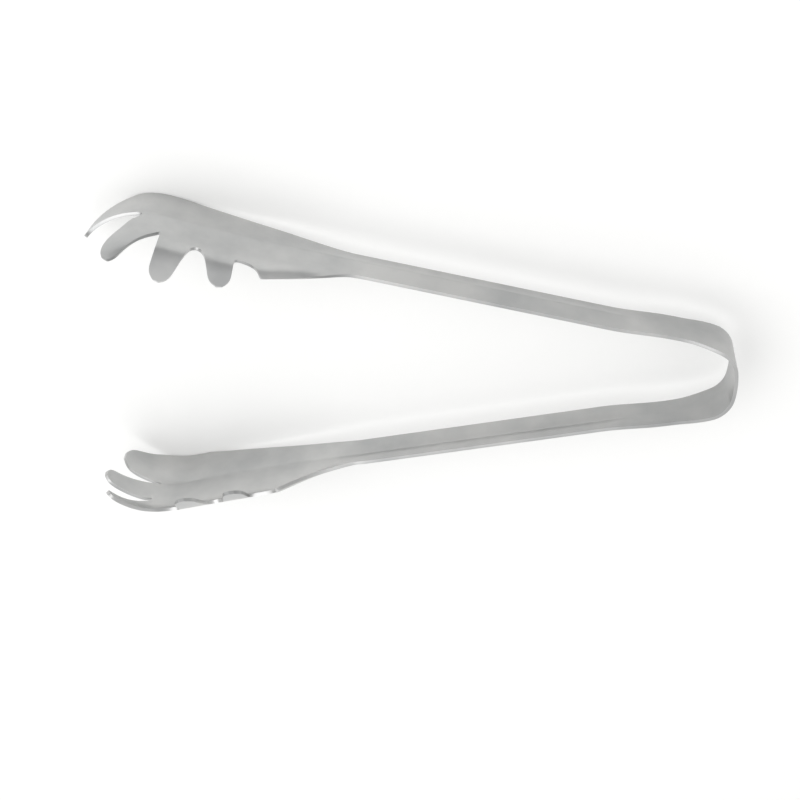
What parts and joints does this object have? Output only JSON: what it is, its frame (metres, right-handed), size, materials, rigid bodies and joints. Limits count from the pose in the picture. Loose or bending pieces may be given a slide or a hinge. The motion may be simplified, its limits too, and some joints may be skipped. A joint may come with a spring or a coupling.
{
  "type": "ice tongs",
  "caption": "One-piece sheet-steel ice tongs: a sprung V of two ridged arms, each ending in a hollow palm with curved prongs.",
  "frame": {"origin": "middle of the bottom of the bounding box, on the surface that the tongs lie on", "axes": "+X along the tongs towards the bow, +Y towards the upper arm, +Z away from the surface, on the side of the prongs"},
  "size_m": [0.1806, 0.0916, 0.0355],
  "materials": {
    "stainless_steel": "satin, softly polished"
  },
  "bodies": {
    "bow": {"spring_bow": "stainless_steel"},
    "upper": {"upper_arm": "stainless_steel", "upper_claw": "stainless_steel"},
    "lower": {"lower_arm": "stainless_steel", "lower_claw": "stainless_steel"}
  },
  "joints": [
    {"name": "upper_flex", "type": "hinge", "parent": "bow", "child": "upper", "pos_m": [0.08788, 0.00812, 0.0134], "axis": [0, 0, 1], "range_deg": [0, 11.5], "stiffness_Nm_per_rad": 6},
    {"name": "lower_flex", "type": "hinge", "parent": "bow", "child": "lower", "pos_m": [0.08788, -0.00812, 0.0134], "axis": [0, 0, -1], "range_deg": [0, 11.5], "stiffness_Nm_per_rad": 6}
  ],
  "couplings": [
    {"joint": "lower_flex", "follows": "upper_flex", "ratio": 1}
  ]
}
